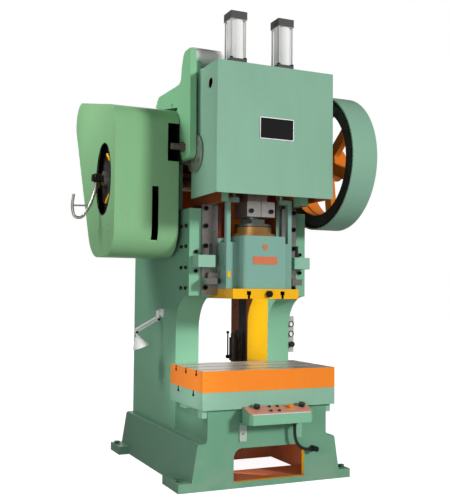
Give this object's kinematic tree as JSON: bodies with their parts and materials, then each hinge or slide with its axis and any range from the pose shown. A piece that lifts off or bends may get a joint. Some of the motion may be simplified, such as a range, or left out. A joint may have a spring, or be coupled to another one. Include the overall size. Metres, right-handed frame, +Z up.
{
  "type": "mechanical stamping press",
  "caption": "Open-back fixed-bed power press: C-frame, slotted bolster, guided slide on a crank, spoked crank gear in a band guard, flywheel guard, balance cylinders.",
  "frame": {"origin": "centre of the four anchor bolt holes, on the floor plane under the base", "axes": "+Z up, +X the machine's right, +Y its rear"},
  "size_m": [2.149, 1.9998, 3.655],
  "materials": {
    "green_paint": "semi-gloss machine enamel",
    "orange_plate": "gloss enamel, ground top",
    "yellow_paint": "gloss enamel",
    "black_plate": "satin with white border",
    "machined_steel": "ground",
    "gear_iron": "dark, oiled",
    "bronze": "turned",
    "belt_rubber": "matt",
    "motor_grey": "satin",
    "bolt_steel": "blackened",
    "bright_steel": "polished",
    "label_plate": "satin, bare",
    "white_paint": "gloss",
    "panel_paint": "satin",
    "black_plastic": "matt",
    "orange_plastic": "gloss",
    "conduit_black": "satin"
  },
  "bodies": {
    "frame": {"base": "green_paint", "levelling_screws": "bolt_steel", "column_right": "green_paint", "column_left": "green_paint", "crown": "green_paint", "bed_plate": "green_paint", "bolster_plate": "orange_plate", "front_cover": "green_paint", "nameplate": "black_plate", "bearings": "bronze", "v_belts": "belt_rubber", "motor": "motor_grey", "rotary_union": "bolt_steel", "air_pipe": "bright_steel", "flywheel_guard": "green_paint", "guard_backplate": "motor_grey", "side_bracket": "green_paint", "bracket_pin": "bolt_steel", "gear_guard": "green_paint", "gibs": "machined_steel", "gib_bolts": "bolt_steel", "knockout_brackets": "green_paint", "balancer_barrels": "white_paint", "balancer_ends": "bolt_steel", "air_tank": "white_paint", "control_box": "green_paint", "control_panel": "panel_paint", "conduit": "conduit_black", "conduit_glands": "bolt_steel", "air_panel": "white_paint", "lamp_base": "white_paint", "pump_body": "motor_grey"},
    "crank": {"crankshaft": "machined_steel", "crank_gear": "gear_iron"},
    "rod": {"connecting_rod": "green_paint", "clamp_bolts": "bolt_steel"},
    "slide": {"slide": "green_paint", "slide_plate": "yellow_paint", "slide_labels": "label_plate", "shank_bolt": "bolt_steel", "slide_collar": "bronze", "balance_rods": "bright_steel"},
    "screw": {"adjusting_screw": "machined_steel"},
    "knockout": {"knockout_bar": "machined_steel"},
    "pinion": {"pinion_shaft": "machined_steel", "clutch_plate": "gear_iron"},
    "flywheel_body": {"flywheel": "gear_iron"},
    "motor_rotor": {"motor_pulley": "gear_iron"},
    "regulator": {"regulator_knob": "black_plastic"},
    "lamp_post": {"lamp_swivel": "white_paint"},
    "lamp_link": {"lamp_arm": "bright_steel"},
    "lamp_shade": {"lamp_head": "white_paint"},
    "pump_handle": {"pump_lever": "bolt_steel"},
    "palm_button_left_body": {"palm_button_left": "black_plastic"},
    "palm_button_right_body": {"palm_button_right": "black_plastic"},
    "button_run_body": {"button_run": "black_plastic"},
    "button_inch_body": {"button_inch": "black_plastic"},
    "button_mode_body": {"button_mode": "black_plastic"},
    "button_reset_body": {"button_reset": "black_plastic"},
    "emergency_stop_body": {"emergency_stop": "orange_plastic"}
  },
  "joints": [
    {"name": "crank_turn", "type": "hinge", "parent": "frame", "child": "crank", "pos_m": [0, -0.58837, 2.53], "axis": [-1, 0, 0], "range_deg": [0, 180]},
    {"name": "rod_travel", "type": "slide", "parent": "frame", "child": "rod", "axis": [0, 0, 1], "range_m": [-0.1601, 0]},
    {"name": "shut_height", "type": "slide", "parent": "rod", "child": "slide", "axis": [0, 0, 1], "range_m": [-0.11, 0]},
    {"name": "screw_turn", "type": "hinge", "parent": "slide", "child": "screw", "pos_m": [0, -0.58837, 1.79], "axis": [0, 0, 1], "range_deg": [-3961, 0]},
    {"name": "knockout_travel", "type": "slide", "parent": "slide", "child": "knockout", "axis": [0, 0, 1], "range_m": [0, 0.035]},
    {"name": "pinion_turn", "type": "hinge", "parent": "frame", "child": "pinion", "pos_m": [0, 0.00525, 2.36927], "axis": [-1, 0, 0], "range_deg": [-986, 0]},
    {"name": "flywheel_turn", "type": "hinge", "parent": "frame", "child": "flywheel_body", "pos_m": [0, 0.00525, 2.36927], "axis": [-1, 0, 0], "continuous": true},
    {"name": "motor_turn", "type": "hinge", "parent": "frame", "child": "motor_rotor", "pos_m": [0, 0.64163, 2.9], "axis": [-1, 0, 0], "continuous": true},
    {"name": "palm_button_left_press", "type": "slide", "parent": "frame", "child": "palm_button_left_body", "axis": [0, 0.2874, -0.9578], "range_m": [0, 0.008], "stiffness_N_per_m": 2000, "springref_m": -0.002},
    {"name": "palm_button_right_press", "type": "slide", "parent": "frame", "child": "palm_button_right_body", "axis": [0, 0.2874, -0.9578], "range_m": [0, 0.008], "stiffness_N_per_m": 2000, "springref_m": -0.002},
    {"name": "button_run_press", "type": "slide", "parent": "frame", "child": "button_run_body", "axis": [0, 0.2874, -0.9578], "range_m": [0, 0.004], "stiffness_N_per_m": 2000, "springref_m": -0.002},
    {"name": "button_inch_press", "type": "slide", "parent": "frame", "child": "button_inch_body", "axis": [0, 0.2874, -0.9578], "range_m": [0, 0.004], "stiffness_N_per_m": 2000, "springref_m": -0.002},
    {"name": "button_mode_press", "type": "slide", "parent": "frame", "child": "button_mode_body", "axis": [0, 0.2874, -0.9578], "range_m": [0, 0.004], "stiffness_N_per_m": 2000, "springref_m": -0.002},
    {"name": "button_reset_press", "type": "slide", "parent": "frame", "child": "button_reset_body", "axis": [0, 0.2874, -0.9578], "range_m": [0, 0.004], "stiffness_N_per_m": 2000, "springref_m": -0.002},
    {"name": "emergency_stop_press", "type": "slide", "parent": "frame", "child": "emergency_stop_body", "axis": [0, 0.2874, -0.9578], "range_m": [0, 0.008], "stiffness_N_per_m": 2000, "springref_m": -0.002},
    {"name": "regulator_turn", "type": "hinge", "parent": "frame", "child": "regulator", "pos_m": [0.549, -0.22837, 1.008], "axis": [0, -1, 0], "range_deg": [-150, 150]},
    {"name": "lamp_swivel_turn", "type": "hinge", "parent": "frame", "child": "lamp_post", "pos_m": [-0.554, 0.09563, 1.269], "axis": [0, 0, 1], "range_deg": [-35, 35]},
    {"name": "lamp_arm_lift", "type": "hinge", "parent": "lamp_post", "child": "lamp_link", "pos_m": [-0.554, 0.09563, 1.216], "axis": [0, 1, 0], "range_deg": [-15, 22]},
    {"name": "lamp_head_tilt", "type": "hinge", "parent": "lamp_link", "child": "lamp_shade", "pos_m": [-0.744, 0.09563, 1.111], "axis": [0, 1, 0], "range_deg": [-30, 45]},
    {"name": "pump_lever_swing", "type": "hinge", "parent": "frame", "child": "pump_handle", "pos_m": [0.346, 0.66163, 0.838], "axis": [0, 1, 0], "range_deg": [-60, 0]}
  ],
  "couplings": [
    {"joint": "rod_travel", "follows": "crank_turn", "m_per_rad": -0.05093},
    {"joint": "pinion_turn", "follows": "crank_turn", "ratio": -5.4737},
    {"joint": "screw_turn", "follows": "shut_height", "rad_per_m": 628.32},
    {"joint": "motor_turn", "follows": "flywheel_turn", "ratio": 4.65}
  ]
}
